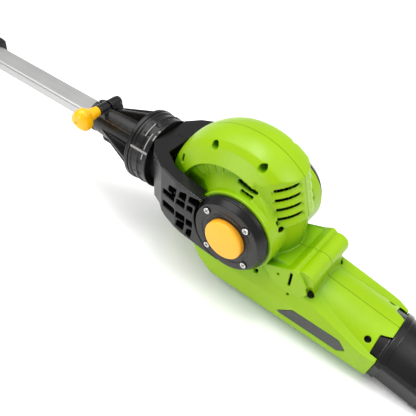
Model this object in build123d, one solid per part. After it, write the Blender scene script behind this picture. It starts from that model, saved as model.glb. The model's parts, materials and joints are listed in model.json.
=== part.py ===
from build123d import *
import os
from math import cos, pi, radians, sin, tan

os.makedirs("parts", exist_ok=True)

# Battery pole hedge trimmer, telescoped to its shortest and lying on its flat undersides.
# Everything is drawn in millimetres from the centre of the tilt hinge: +X to the blade tip,
# +Y to the left side, +Z up. save() moves each piece to the part's own frame, whose origin is
# under the middle of the whole tool, on the surface that it lies on.

# ---- driving dimensions -------------------------------------------------------------------
GROUND = -110.0              # level of the surface under the tool, seen from the tilt hinge
TIP_X = 700.0                # front end of the blade guard
REAR_X = -1204.0             # back of the battery pack
WALL = 3.0                   # wall of the moulded shells
GAP = 0.3                    # play between pieces that move past each other
RUN = 0.05                   # radial play of a shaft in its bore

POLE_W, POLE_H, POLE_WALL = 30.0, 15.0, 1.6      # sliding inner pole
OUTER_W, OUTER_H = 35.4, 20.4                    # outer pole that it slides in
POLE_R = 3.5

DRUM_X, DRUM_Z = -19.0, 1.0                      # centre of the round motor housing
DRUM_R, DRUM_HALF, BAND_R, RECESS_HALF = 91.5, 40.0, 64.0, 33.0
TOWER_X, TOWER_R, TOWER_HALF = 17.0, 38.2, 37.5  # round-backed neck behind the drum
REAR_RAKE, REAR_Z, REAR_R = 17.6, 26.0, 37.5     # raked round back with the vents
VENT_LEVELS = (28.4, 17.4, 6.4, -4.6)            # along the raked axis from REAR_Z
RIM_LEVEL = -15.5                                # where the raked back ends, on the same axis
HUB_R, HUB_HALF = 48.0, 50.0
BARREL_X, BARREL_Z, BARREL_R, BARREL_HALF = 84.0, -24.0, 12.0, 37.5
EAR_HALF = 41.0

DOME_SLOPE = 8.6                                 # the arched front of the head dips by this
DOME_TOP_X, DOME_TOP_Z = 100.0, -40.0            # a point on its top line
SHELL_END_X = 183.0
HULL_HALF, LIP_Z = 45.5, -64.0                   # lower body, widest from its lip down

YOKE_SWEEP_R = 113.0                             # inside of the fork, clear of the drum
YOKE_IN, YOKE_OUT, YOKE_HALF_H = 43.5, 60.0, 36.5
FLANGE_X, FLANGE_R = -161.0, 44.8
COVER_R, COVER_FACE_R, COVER_IN, COVER_OUT = 45.0, 40.0, 53.4, 62.6
COVER_SCREW_R, COVER_SCREW_ANGLE = 34.3, 49.0
BUTTON_R, BUTTON_OUT, BUTTON_TRAVEL = 22.9, 70.4, 6.0
SPIGOT_R, SPIGOT_BORE, SPIGOT_END = 20.0, 15.0, 31.0
LOCK_GEAR_IN = 40.0                              # inner face of the lock gear, button out

MOTOR_X, MOTOR_R = -15.0, 28.5
GEAR_MODULE, PINION_TEETH, CRANK_TEETH = 1.0, 18, 60
CRANK_X = MOTOR_X + GEAR_MODULE * (PINION_TEETH + CRANK_TEETH) / 2
GEAR_Z, GEAR_T = -36.0, 8.0
STROKE, ECCENTRIC_R = 8.0, 9.0                   # each blade moves the stroke either way

BLADE_Z, BLADE_T, BLADE_GAP = -92.0, 2.4, 0.4
BLADE_X0, BLADE_PITCH, BLADE_TEETH = 262.0, 26.0, 16
BLADE_HALF, TOOTH_TIP = 17.0, 31.0
BLADE_BOLTS = [BLADE_X0 + 30 + 90 * k for k in range(5)]

SOCKET_MOUTH, CLAMP_X, CLAMP_Z = -256.0, -238.0, 20.5
TELE_X0, TELE_X1, TELE_BOLT_X, TELE_BOLT_Z = -548.0, -482.0, -510.0, 28.0
INNER_POLE_END = -880.0
HANDLE_X, HANDLE_HALF = -1000.0, 21.0
DOCK_X = -1140.0


# ---- shape helpers ------------------------------------------------------------------------
def polygon(points, radius=0.0):
    face = make_face(Polyline(*points, close=True).edges())
    return fillet(face.vertices(), radius) if radius else face


def prism_x(points, x0, x1, radius=0.0):
    """A prism along X from an outline of (y, z) points."""
    plane = Plane(origin=(x0, 0, 0), x_dir=(0, 1, 0), z_dir=(1, 0, 0))
    return extrude(plane * polygon(points, radius), amount=x1 - x0)


def prism_y(points, y0, y1, radius=0.0):
    """A prism along Y from an outline of (x, z) points."""
    plane = Plane(origin=(0, y1, 0), x_dir=(1, 0, 0), z_dir=(0, -1, 0))
    return extrude(plane * polygon(points, radius), amount=y1 - y0)


def prism_z(points, z0, z1, radius=0.0):
    """A prism along Z from an outline of (x, y) points."""
    return extrude(Plane.XY.offset(z0) * polygon(points, radius), amount=z1 - z0)


def block(x0, x1, y0, y1, z0, z1):
    middle = ((x0 + x1) / 2, (y0 + y1) / 2, (z0 + z1) / 2)
    return Pos(*middle) * Box(x1 - x0, y1 - y0, z1 - z0)


def cone(a, b, radius_a, radius_b):
    a, b = Vector(*a), Vector(*b)
    plane = Plane(origin=(a + b) * 0.5, z_dir=b - a)
    if radius_a == radius_b:
        return plane * Cylinder(radius_a, (b - a).length)
    return plane * Cone(radius_a, radius_b, (b - a).length)


def rod(a, b, radius):
    return cone(a, b, radius, radius)


def rod_x(x0, x1, radius, y=0.0, z=0.0):
    return rod((x0, y, z), (x1, y, z), radius)


def rod_y(y0, y1, radius, x=0.0, z=0.0):
    return rod((x, y0, z), (x, y1, z), radius)


def rod_z(z0, z1, radius, x=0.0, y=0.0):
    return rod((x, y, z0), (x, y, z1), radius)


def inset_prism_y(points, half, inset, radius=0.0):
    """A prism along Y, centred, with its whole surface pulled in by inset."""
    face = polygon(points, radius)
    if inset:
        face = offset(face, amount=-inset, kind=Kind.INTERSECTION)
    plane = Plane(origin=(0, half - inset, 0), x_dir=(1, 0, 0), z_dir=(0, -1, 0))
    return extrude(plane * face, amount=2 * (half - inset))


def rounded_bar(x0, x1, width, height, radius, z=0.0):
    """A bar along X with rounded long edges."""
    w, h = width / 2, height / 2
    return prism_x([(-w, z - h), (w, z - h), (w, z + h), (-w, z + h)], x0, x1, radius)


def both_sides(shape):
    return shape + mirror(shape, about=Plane.XZ)


def left_half(shape):
    return shape & block(-1500, 1500, 0, 200, -300, 300)


def right_half(shape):
    return shape & block(-1500, 1500, -200, 0, -300, 300)


def group(shapes):
    """Separate solids in one node."""
    return Compound(children=[solid for shape in shapes for solid in shape.solids()])


def save(name, shape):
    origin = Location((-(TIP_X + REAR_X) / 2, 0, -GROUND))
    export_step(shape.moved(origin), f"parts/{name}.step")


# ---- head housing -------------------------------------------------------------------------
def drum(inset):
    """Round motor housing with a crowned rim and a sunken centre on each side."""
    rim, side, band = 86.0 - inset, 26.0 - inset * 0.6, DRUM_HALF - inset
    outline = [
        ThreePointArc((rim, -side), (DRUM_R - inset, 0), (rim, side)),
        Line((rim, side), (80 - inset, 31.5 - inset * 0.8)),
        Line((80 - inset, 31.5 - inset * 0.8), (BAND_R, band)),
        Line((BAND_R, band), (0, band)),
        Line((0, band), (0, -band)),
        Line((0, -band), (BAND_R, -band)),
        Line((BAND_R, -band), (80 - inset, inset * 0.8 - 31.5)),
        Line((80 - inset, inset * 0.8 - 31.5), (rim, -side)),
    ]
    disc = Pos(DRUM_X, 0, DRUM_Z) * revolve(make_face(outline), Axis.Y)
    sunk = cone((DRUM_X, RECESS_HALF - inset, DRUM_Z), (DRUM_X, 46, DRUM_Z),
                BAND_R - 2.5 + inset, BAND_R + 1.5 + inset)
    return (disc & rear_limit(inset)) - both_sides(sunk)


def rear_plane():
    """Plane across the raked back of the drum, with its Z along the rake."""
    angle = radians(REAR_RAKE)
    return Plane(origin=(TOWER_X, 0, REAR_Z), x_dir=(cos(angle), 0, sin(angle)),
                 z_dir=(-sin(angle), 0, cos(angle)))


def raked_back(inset):
    """Everything in front of the raked round back."""
    front = Pos(-150, 0, 0) * Box(300 + 6, 120, 300)
    return rear_plane() * (front + Cylinder(REAR_R - inset, 300))


def beyond_rim(level, side):
    """The space above (side 1) or below (side -1) a level on the raked axis."""
    return rear_plane() * (Pos(0, 0, level + 150 * side) * Box(700, 200, 300))


def rear_limit(inset):
    """The space that the drum may fill: its back is raked and ends in a rim under the vents."""
    upper = raked_back(inset) & beyond_rim(RIM_LEVEL + inset, 1)
    return upper + block(-150, TOWER_X + 3, -60, 60, -100, REAR_Z)


def tower(inset):
    """Neck that carries the drum down to the lower body."""
    half, radius = TOWER_HALF - inset, TOWER_R - inset
    straight = block(-30, TOWER_X, -half, half, -80, 44 - inset)
    neck = straight + rod_z(-80, 44 - inset, radius, x=TOWER_X)
    return neck & (raked_back(inset) + beyond_rim(RIM_LEVEL, -1))


def hull(inset):
    """Wide lower body with slanted flanks and a raised tip at the back."""
    half = HULL_HALF - inset
    section = [(-half + 10, -30 - inset), (-half, LIP_Z), (-half, -92),
               (-half + 13, GROUND + inset), (half - 13, GROUND + inset), (half, -92),
               (half, LIP_Z), (half - 10, -30 - inset)]
    end = SHELL_END_X - inset
    side = [(-64 + inset * 2, -46), (-46 + inset, -78), (-14, -102 + inset), (24, GROUND + inset),
            (end, GROUND + inset), (end, -70), (120, -52 - inset), (40, -30 - inset),
            (-40, -30 - inset)]
    nose = 41.5 - inset
    taper = [(-80, -60), (100, -60), (SHELL_END_X + 1, -nose), (SHELL_END_X + 1, nose),
             (100, 60), (-80, 60)]
    behind = dome_plane(end) * (Pos(0, 0, -150) * Box(200, 400, 300))
    return (prism_x(section, -80, end, 6) & prism_y(side, -60, 60, 8)
            & prism_z(taper, -120, 0) & behind)


def dome_section(inset):
    """Cross-section of the arched front: (across, down) from its top line."""
    half = 41.0 - inset
    return [
        ThreePointArc((-half + 3, -16), (0, -inset), (half - 3, -16)),
        Line((half - 3, -16), (half, -22)),
        Line((half, -22), (half - 2, -44)),
        Line((half - 2, -44), (half - 14, -56 + inset)),
        Line((half - 14, -56 + inset), (-half + 14, -56 + inset)),
        Line((-half + 14, -56 + inset), (-half + 2, -44)),
        Line((-half + 2, -44), (-half, -22)),
        Line((-half, -22), (-half + 3, -16)),
    ]


def dome_plane(x):
    """Plane across the sloping front, with its origin on the top line at this x."""
    z = DOME_TOP_Z - (x - DOME_TOP_X) * tan(radians(DOME_SLOPE))
    slope = radians(DOME_SLOPE)
    return Plane(origin=(x, 0, z), x_dir=(0, 1, 0), z_dir=(cos(slope), 0, -sin(slope)))


def dome(inset, x0=40.0, x1=SHELL_END_X):
    length = (x1 - x0) / cos(radians(DOME_SLOPE))
    return extrude(dome_plane(x0) * make_face(dome_section(inset)), amount=length)


def saddle(inset):
    """Cross barrel and the two flat ears at the foot of the neck."""
    web = [(20, -22), (BARREL_X - 4, BARREL_Z + 8), (BARREL_X + 9, BARREL_Z - 6), (98, -52),
           (70, -84), (20, -80)]
    ear = [(34, -30), (63, -18.5), (73, -12.5), (85, -20), (93, -30), (92, -39), (79, -58),
           (69, -60), (54, -49)]
    body = inset_prism_y(web, 34, inset) + inset_prism_y(ear, EAR_HALF, inset, 2.5)
    half = BARREL_HALF - inset
    return body + rod_y(-half, half, BARREL_R - inset, x=BARREL_X, z=BARREL_Z)


def hub(inset):
    """Round bearing housing of the tilt hinge, with a flared foot on each side."""
    foot = cone((0, 30, 0), (0, YOKE_IN - GAP - inset, 0), HUB_R + 18 - inset, HUB_R - inset)
    foot &= Pos(DRUM_X, 0, DRUM_Z) * rod_y(0, 60, BAND_R - 1 - inset)
    return rod_y(-HUB_HALF + inset, HUB_HALF - inset, HUB_R - inset) + both_sides(foot)


def head_solid(inset):
    return (drum(inset) + tower(inset) + hull(inset) + dome(inset) + saddle(inset)
            + hub(inset))


DOME_WELLS = (93.5, 163.0)                                           # x
SCREW_WELLS = [(-46.0, 77.0, 4.2), (10.6, 77.8, 4.2)]                # x, z, radius


def sector(first, last, reach=70.0):
    """A tall wedge about Z between two angles."""
    a, b = radians(first), radians(last)
    points = [(0, 0), (reach * cos(a), reach * sin(a)), (reach * cos(b), reach * sin(b))]
    return prism_z(points, -150, 150)


def vent_cuts():
    """Louvres round both rear corners of the drum: each slot has a scooped lip below it."""
    cuts = []
    for level in VENT_LEVELS:
        slot = Pos(0, 0, level + 0.4) * (Cylinder(60, 3.8) - Cylinder(REAR_R - 6, 5))
        scoop = make_face(Polyline((REAR_R - 2.4, level), (REAR_R + 3, level),
                                   (REAR_R + 3, level - 7.4), (REAR_R - 0.1, level - 6.4),
                                   close=True).edges())
        lip = revolve(Plane.XZ * scoop, Axis.Z)
        cuts.append(slot & sector(12, 56))
        cuts.append(lip & sector(9, 60))
    return [both_sides(rear_plane() * cut) for cut in cuts]


def shell_cuts():
    """Openings through the head shells."""
    cuts = vent_cuts()
    cuts.append(rod_y(-60, 60, SPIGOT_R + RUN))
    for x, z, radius in SCREW_WELLS:
        cuts.append(both_sides(rod_y(14, 60, radius, x=x, z=z)))
        cuts.append(rod_y(-20, 20, 1.6, x=x, z=z))
    cuts.append(both_sides(rod((51, 40, 24), (36, 20, 12), 3.2)))                  # under the vents
    cuts.append(both_sides(block(-86.5, -83.3, 20, 60, 35.5, 45.5)))
    cuts.append(both_sides(rod_y(38, 60, 3.0, x=30, z=-48)))
    for x, z, length in ((2.5, 54.6, 25), (5.0, 49.0, 15)):                        # side slots
        slot = Pos(x, 35, z) * Rot(0, 7, 0) * Box(length, 17, 3.4)
        cuts.append(both_sides(slot))
    cuts.append(both_sides(block(69.4, 72.2, 36, 52, -40, -19.5)))                 # ear slot
    for x, z in ((56.3, -32.2), (72.6, -52)):
        cuts.append(both_sides(rod_y(34, 60, 1.5, x=x, z=z)))
    for x in DOME_WELLS:
        top = dome_plane(x).origin.Z
        cuts.append(both_sides(rod((x, 41, top + 12), (x, 15, top - 36), 3.6)))
    cuts.append(both_sides(label_pocket(1.8, 0.0)))
    for y in (-9.5, 9.5):                                                          # barrel rings
        ring = rod_y(y - 0.4, y + 0.4, BARREL_R + 2, x=BARREL_X, z=BARREL_Z)
        cuts.append(ring - rod_y(y - 1, y + 1, BARREL_R - 0.6, x=BARREL_X, z=BARREL_Z))
    return cuts


def label_pocket(depth, inset):
    """Long recess in the lower flank that holds the rating plate."""
    z0, z1 = -84.0 + inset, -66.5 - inset
    outline = [(66 + inset * 2, z0 + 2), (84 + inset, z1), (140 - inset, z1),
               (150 - inset * 2, z0 + 7), (142 - inset, z0), (69 + inset, z0)]
    return prism_y(outline, HULL_HALF - depth, HULL_HALF + 20)


def build_head_shells():
    shell = head_solid(0) - head_solid(WALL)
    boss = rod_y(RECESS_HALF - WALL, HUB_HALF - 1, 24.5) - rod_y(0, 99, SPIGOT_R + RUN)
    shell = shell + both_sides(boss)
    for x, z, radius in SCREW_WELLS:
        shell += rod_y(-60, 60, radius + 1.6, x=x, z=z) & drum(0.5)
    for rib in range(4):                                        # stiffening ribs in the sunken side
        turn = Pos(DRUM_X, 0, DRUM_Z) * Rot(0, 44 + 11 * rib, 0)
        shell += both_sides(turn * block(-63, -50, RECESS_HALF - 1, RECESS_HALF + 1.6, -1.2, 1.2))
    for cut in shell_cuts():
        shell = shell - cut
    shell = shell - block(SHELL_END_X - 12, SHELL_END_X + 20, -37, 37, -103.5, -55)
    save("head_shell_left", left_half(shell))
    save("head_shell_right", right_half(shell))
    plate = label_pocket(1.6, 0.5) & block(60, 160, 0, HULL_HALF - 0.4, -120, 0)
    save("rating_plate_left", plate)
    save("rating_plate_right", mirror(plate, about=Plane.XZ))


def head_screw_group():
    """Shell screws, deep in their wells on the right side."""
    screws = []
    for x, z, radius in SCREW_WELLS:
        screws.append(pan_screw((x, -15.5, z), (0, -1, 0), 3.2))
    for x in DOME_WELLS:
        top = dome_plane(x).origin.Z
        screws.append(pan_screw((x, -17, top - 32.3), (0, -26, 48), 2.8))
    return group(screws)


def pan_screw(seat, out, radius):
    """Screw with a domed cross-recessed head that sits on seat and faces out."""
    plane = Plane(origin=seat, z_dir=out)
    head = Pos(0, 0, radius * 0.3) * Cylinder(radius, radius * 0.6)
    head += Pos(0, 0, radius * 0.6) * (Sphere(radius) & Pos(0, 0, radius * 0.13) * Box(
        2 * radius, 2 * radius, radius * 0.26))
    head += Pos(0, 0, -radius * 1.1) * Cylinder(radius * 0.5, radius * 2.2)
    slot = radius * 0.28
    for turn in (45, 135):
        head -= Rot(0, 0, turn) * Pos(0, 0, radius * 0.75) * Box(radius * 1.3, slot, radius * 0.9)
    return plane * head


# ---- fork, hinge covers and release buttons -----------------------------------------------
def fork_body():
    plan = [(-133, -26), (-120, -42), (-96, -56), (-72, -YOKE_OUT), (10, -YOKE_OUT),
            (10, YOKE_OUT), (-72, YOKE_OUT), (-96, 56), (-120, 42), (-133, 26)]
    high = YOKE_HALF_H
    side = [(-134, -high), (-118, -28), (-102, -23), (-90, -32), (-63, -39.5), (-30, -43.5),
            (0, -COVER_R), (0, 27), (-38, 27), (-65, 31.6), (-92, high), (-134, high)]
    body = prism_z(plan, -60, 60) & prism_y(side, -70, 70)
    inner = [(20, -YOKE_IN), (-86, -YOKE_IN), (-112, -28), (-130, -24), (-130, 24),
             (-112, 28), (-86, YOKE_IN), (20, YOKE_IN)]
    body -= rod_y(-70, 70, YOKE_SWEEP_R) & prism_z(inner, -80, 80)
    body -= both_sides(rod_y(0, HUB_HALF + GAP, HUB_R + 1.5))
    body -= both_sides(rod_y(COVER_IN, 80, COVER_R + 0.2))
    keep = block(-200, 0, -80, 80, -80, 80) + rod_y(-80, 80, COVER_R)
    ring = both_sides(rod_y(HUB_HALF + GAP, COVER_IN, COVER_R))
    return (body & keep) + ring


def fork_pockets():
    """Lattice of pockets in the outside of each arm, in two bands above and below its ridge."""
    outer = [(-56.0, -47.0), (-71.0, -58.0), (-93.0, -73.0)]
    rows = [((12.5, 25.5), [(-54.0, -38.5), (-67.5, -56.0), (-84.0, -70.0)], 2.0, -1.5),
            ((0.5, 10.0), outer, 1.0, 0.0),
            ((-21.0, -11.5), outer, 0.0, 1.5),
            ((-38.0, -24.0), outer[:2], 2.0, 4.0)]
    cuts = []
    for (low, high), columns, lean, drop in rows:
        for number, (x0, x1) in enumerate(columns):
            down = drop * number
            outline = [(x0, low + down + lean), (x1 - lean, low + down), (x1, high + down),
                       (x0 + lean, high + down - lean)]
            cuts.append(prism_y(outline, 48, 66, 0.8))
    return cuts


def fork_spigots():
    """Hinge spigots that turn in the bores of the head, with a cup for the lock gear."""
    return both_sides(rod_y(SPIGOT_END, COVER_IN, SPIGOT_R))


def build_fork():
    fork = fork_body() + fork_spigots()
    for cut in fork_pockets():
        fork -= both_sides(cut)
    fork -= both_sides(rod_y(SPIGOT_END + 2, COVER_IN + 1, SPIGOT_BORE))
    neck = rod_x(FLANGE_X + 0.5, -125, 34.5) & block(-170, -118, -40, 40, -34.5, 34.5)
    fork += neck
    fork -= rod_x(-170, -100, 18 + RUN)
    fork -= rod_x(-124.5, -100, 24.5)
    cover = cone((0, COVER_IN, 0), (0, COVER_IN + 2, 0), COVER_R, COVER_R)
    cover += cone((0, COVER_IN + 2, 0), (0, COVER_OUT, 0), COVER_R - 0.6, COVER_FACE_R)
    cover -= rod_y(COVER_OUT - 0.8, 70, 31.5) - rod_y(50, 71, 27.5)
    cover -= rod_y(50, 80, BUTTON_R + GAP)
    screws, pilots = [], []
    for step in range(4):
        angle = radians(COVER_SCREW_ANGLE + 90 * step)
        x, z = COVER_SCREW_R * cos(angle), COVER_SCREW_R * sin(angle)
        cover -= rod_y(COVER_OUT - 1.6, 80, 4.6, x=x, z=z)
        cover -= rod_y(50, 80, 1.9, x=x, z=z)
        pilots.append(rod_y(46, 56, 1.9, x=x, z=z))
        screws.append(pan_screw((x, COVER_OUT - 1.6, z), (0, 1, 0), 3.6))
    for pilot in pilots:
        fork -= both_sides(pilot)
    save("fork_left", left_half(fork))
    save("fork_right", right_half(fork))
    save("hinge_cover_left", cover)
    save("hinge_cover_right", mirror(cover, about=Plane.XZ))
    screws += [mirror(screw, about=Plane.XZ) for screw in screws]
    save("cover_screws", group(screws))
    y0 = SPIGOT_END + 2
    spring = rod_y(y0, y0 + 0.9, 12) - rod_y(y0 - 1, y0 + 1, 9)
    for wave in range(6):
        leaf = block(-1.2, 1.2, y0 + 0.6, y0 + 0.8, 9.4, 11.6)
        spring += Rot(0, 60 * wave, 0) * leaf
    save("button_springs", group([spring, mirror(spring, about=Plane.XZ)]))


def build_buttons():
    rim = BUTTON_R - 1.2
    cap = rod_y(60.0, 68.4, BUTTON_R)
    cap += cone((0, 68.4, 0), (0, 69.6, 0), BUTTON_R, rim)
    dome_radius = (rim ** 2 + 0.8 ** 2) / (2 * 0.8)
    crown = Pos(0, BUTTON_OUT - dome_radius, 0) * Sphere(dome_radius)
    cap += crown & rod_y(69.4, 75, rim)
    gear_out = LOCK_GEAR_IN + 8
    button = cap + rod_y(gear_out, 61, 9.5)
    gear = rod_y(LOCK_GEAR_IN, gear_out, 13.6)
    for tooth in range(12):
        angle = 2 * pi * tooth / 12
        gear -= rod_y(30, 60, 1.6, x=14.2 * cos(angle), z=14.2 * sin(angle))
    for side, turn in (("left", lambda s: s), ("right", lambda s: mirror(s, about=Plane.XZ))):
        save(f"release_button_{side}", turn(button))
        save(f"lock_gear_{side}", turn(gear))


def build_lock_collar():
    """Turning sleeve between the pole socket and the fork."""
    x0, x1 = FLANGE_X + GAP, -134.0
    collar = rod_x(x0, x1, 42.5) + rod_x(x0, x0 + 4, 44) + rod_x(x1 - 3, x1, 43.6)
    for turn in range(16):
        angle = 2 * pi * (turn + 0.5) / 16
        collar -= rod_x(x0 + 8, x1 - 7, 3.0, y=44.6 * cos(angle), z=44.6 * sin(angle))
    bar = Rot(-30, 0, 0) * block(x0, x1, -47, -41.5, -2, 2)
    band = rod_x((x0 + x1) / 2 - 1.2, (x0 + x1) / 2 + 1.2, 43.9)
    collar += (band + bar) & rod_x(x0, x1, 44.2)
    collar -= rod_x(-180, -100, 34.5 + GAP)
    save("lock_collar", collar)


# ---- pole, socket and clamps --------------------------------------------------------------
def clamp_knob(x, z, y_seat, y_face):
    """Three-lobed thumb knob on a bolt along Y, on the right side."""
    neck = cone((x, y_seat, z), (x, y_face + 17, z), 6.0, 8.2)
    head = rod_y(y_face, y_face + 18, 11.0, x=x, z=z)
    for lobe in range(3):
        angle = radians(75 + 120 * lobe)
        head += rod_y(y_face + 1.5, y_face + 16.5, 8.2, x=x + 6.8 * cos(angle),
                      z=z + 6.8 * sin(angle))
    knob = neck + head - rod_y(y_face - 1, y_face + 5, 2.6, x=x, z=z)
    return knob


def pole_hole(x0, x1):
    return rounded_bar(x0, x1, POLE_W + 2 * GAP, POLE_H + 2 * GAP, POLE_R + GAP)


def build_poles():
    inner = rounded_bar(INNER_POLE_END, -186, POLE_W, POLE_H, POLE_R)
    inner -= rounded_bar(INNER_POLE_END - 1, -180, POLE_W - 2 * POLE_WALL,
                         POLE_H - 2 * POLE_WALL, POLE_R - 1)
    save("inner_pole", inner)
    outer = rounded_bar(-936, TELE_X0 + 46, OUTER_W, OUTER_H, 4.5)
    outer -= rounded_bar(-940, TELE_X0 + 60, POLE_W + 2 * GAP, POLE_H + 2 * GAP, POLE_R)
    save("outer_pole", outer)


def build_pole_socket():
    body = cone((SOCKET_MOUTH, 0, 0), (FLANGE_X - 5, 0, 0), 19.5, 25.5)
    body += rod_x(FLANGE_X - 5, FLANGE_X, FLANGE_R)
    body += rod_x(FLANGE_X, -120, 18)
    fin = prism_y([(-232, 15), (-232, 20.5), (FLANGE_X - 4, 43.5), (FLANGE_X - 4, 15)], -1.6, 1.6)
    for turn in (0, 45, 90, 135, 225, 270, 315):                # none over the strap hook
        body += Rot(turn, 0, 0) * fin
    body += block(-249, -227, -16, 16, 8, CLAMP_Z)
    body += rod_y(-16, 16, 7.6, x=CLAMP_X, z=CLAMP_Z) + rod_y(14, 19, 7, x=CLAMP_X, z=CLAMP_Z)
    body += rod_x(SOCKET_MOUTH, SOCKET_MOUTH + 6, 21)
    body -= block(SOCKET_MOUTH - 1, -218, -1.3, 1.3, 0, 40)
    body -= pole_hole(SOCKET_MOUTH - 1, -185.5)
    body -= rod_x(-181, -110, 12)
    body -= rod_y(-30, 30, 3.1, x=CLAMP_X, z=CLAMP_Z)
    body -= prism_y(hexagon(CLAMP_X, CLAMP_Z, 5.2), 15.5, 20)
    save("pole_socket", body)
    hook = prism_y([(-250, -17), (-226, -17), (-229, -33), (-247, -33)], -5, 0, 3)
    hook -= prism_y([(-246, -10), (-230, -10), (-233, -30), (-243, -30)], -7, 2, 2)
    hook -= rod_x(-260, -210, 21.7)
    save("strap_hook", hook)
    ring = rod_x(-124.2, -119.5, 24) - rod_x(-130, -110, 18 + RUN)
    save("swivel_retainer", ring)
    save("clamp_knob", clamp_knob(CLAMP_X, CLAMP_Z, -16.3, -52))
    save("clamp_bolt", clamp_bolt(CLAMP_X, CLAMP_Z, -16.2, 19.5, 15.6))


def hexagon(x, z, radius):
    return [(x + radius * cos(pi * k / 3), z + radius * sin(pi * k / 3)) for k in range(6)]


def clamp_bolt(x, z, y0, y1, y_nut):
    bolt = rod_y(y0, y1, 3.0, x=x, z=z)
    return bolt + prism_y(hexagon(x, z, 5.0), y_nut, y_nut + 3.6)


def build_telescope_clamp():
    body = prism_y([(TELE_X0, -17), (TELE_X1 - 4, -17), (TELE_X1, -12), (TELE_X1, 12),
                    (TELE_X1 - 6, 18), (TELE_X0 + 8, 18), (TELE_X0, 14)], -24, 24, 2)
    body &= rounded_bar(TELE_X0, TELE_X1, 47, 36, 9, z=0.5)
    body += block(-522, -498, -14, 14, 10, TELE_BOLT_Z)
    body += rod_y(-14, 14, 9, x=TELE_BOLT_X, z=TELE_BOLT_Z)
    body -= block(-530, TELE_X1 + 1, -1.3, 1.3, 0, 40)
    body -= rounded_bar(TELE_X0 - 1, TELE_X0 + 46.2, OUTER_W + 0.1, OUTER_H + 0.1, 4.5)
    body -= rounded_bar(TELE_X0, TELE_X1 + 1, POLE_W + 2 * GAP, POLE_H + 2 * GAP, POLE_R)
    body -= rod_y(-30, 30, 3.1, x=TELE_BOLT_X, z=TELE_BOLT_Z)
    save("telescope_clamp", body)
    save("telescope_knob", clamp_knob(TELE_BOLT_X, TELE_BOLT_Z, -14.3, -52))
    save("telescope_bolt", clamp_bolt(TELE_BOLT_X, TELE_BOLT_Z, -14.2, 18.2, 14.2))
    grip = rounded_bar(-780, -600, 50, 36, 16)
    for ring in range(8):
        x = -762 + 20.5 * ring
        grip -= rounded_bar(x - 1.2, x + 1.2, 60, 60, 5) - rounded_bar(x - 2, x + 2, 47, 33, 15)
    grip -= rounded_bar(-790, -590, OUTER_W + 0.1, OUTER_H + 0.1, 4.5)
    save("front_grip", grip)
    lug = [(-849, 10), (-829, 10), (-831, 30), (-836, 33), (-842, 33), (-847, 30)]
    strap = rounded_bar(-846, -832, 43, 28, 8) + prism_y(lug, -3, 3, 1.5)
    strap -= rod_y(-10, 10, 5.0, x=-839, z=23)
    strap -= rounded_bar(-860, -820, OUTER_W + 0.1, OUTER_H + 0.1, 4.5)
    save("strap_ring", strap)


# ---- motor, gears and blades --------------------------------------------------------------
def toothed_wheel(x, z0, z1, teeth, turn=0.0):
    """Straight spur gear about a vertical axis, with slim trapezoid teeth."""
    pitch_r = GEAR_MODULE * teeth / 2
    root, tip = pitch_r - 1.2 * GEAR_MODULE, pitch_r + 0.9 * GEAR_MODULE
    step = 2 * pi / teeth
    points = []
    for tooth in range(teeth):
        middle = turn + tooth * step
        for radius, share in ((root, -0.34), (tip, -0.12), (tip, 0.12), (root, 0.34)):
            angle = middle + share * step
            points.append((x + radius * cos(angle), radius * sin(angle)))
    return prism_z(points, z0, z1)


def build_motor():
    can = rod_z(-10, 62, MOTOR_R, x=MOTOR_X) - rod_z(-8, 60, MOTOR_R - 2, x=MOTOR_X)
    can -= rod_z(-20, 0, 8.05, x=MOTOR_X)
    save("motor_can", can)
    bearing = rod_z(-10, -4, 8, x=MOTOR_X) - rod_z(-20, 0, 3 + RUN, x=MOTOR_X)
    low = rod_z(-62, -57, 11, x=CRANK_X) - rod_z(-70, -50, 6 + RUN, x=CRANK_X)
    save("bearings", group([bearing, low]))
    save("motor_shaft", rod_z(-46, 52, 3, x=MOTOR_X))
    core = rod_z(8, 44, 20, x=MOTOR_X) - rod_z(0, 60, 3, x=MOTOR_X)
    for slot in range(12):
        angle = 2 * pi * slot / 12
        core -= rod_z(0, 60, 2.2, x=MOTOR_X + 19 * cos(angle), y=19 * sin(angle))
    save("rotor_core", core)
    fan = rod_z(-22, -19, 24, x=MOTOR_X)
    for blade in range(9):
        spin = Pos(MOTOR_X, 0, 0) * Rot(0, 0, 40 * blade)
        fan += spin * block(6, 24, -0.8, 0.8, -20, -13)
    save("cooling_fan", fan - rod_z(-30, 0, 3, x=MOTOR_X))
    pinion = toothed_wheel(MOTOR_X, GEAR_Z - 1, GEAR_Z + GEAR_T + 1, PINION_TEETH)
    save("drive_pinion", pinion - rod_z(-60, 0, 3, x=MOTOR_X))
    half_tooth = pi / CRANK_TEETH
    wheel = toothed_wheel(CRANK_X, GEAR_Z, GEAR_Z + GEAR_T, CRANK_TEETH, half_tooth)
    for hole in range(6):
        angle = pi * hole / 3
        wheel -= rod_z(GEAR_Z - 1, 0, 6, x=CRANK_X + 21 * cos(angle), y=21 * sin(angle))
    save("crank_gear", wheel - rod_z(-60, 0, 6, x=CRANK_X))
    shaft = rod_z(-80, -26, 6, x=CRANK_X)
    shaft += rod_z(BLADE_Z, -80, ECCENTRIC_R, x=CRANK_X, y=STROKE)
    shaft += rod_z(-99, BLADE_Z, ECCENTRIC_R, x=CRANK_X, y=-STROKE)
    save("crank_shaft", shaft)
    plate = block(-38, 70, -30, 30, -66.5, -62) - rod_z(-70, -60, 10, x=CRANK_X)
    save("gear_plate", plate)


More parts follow.
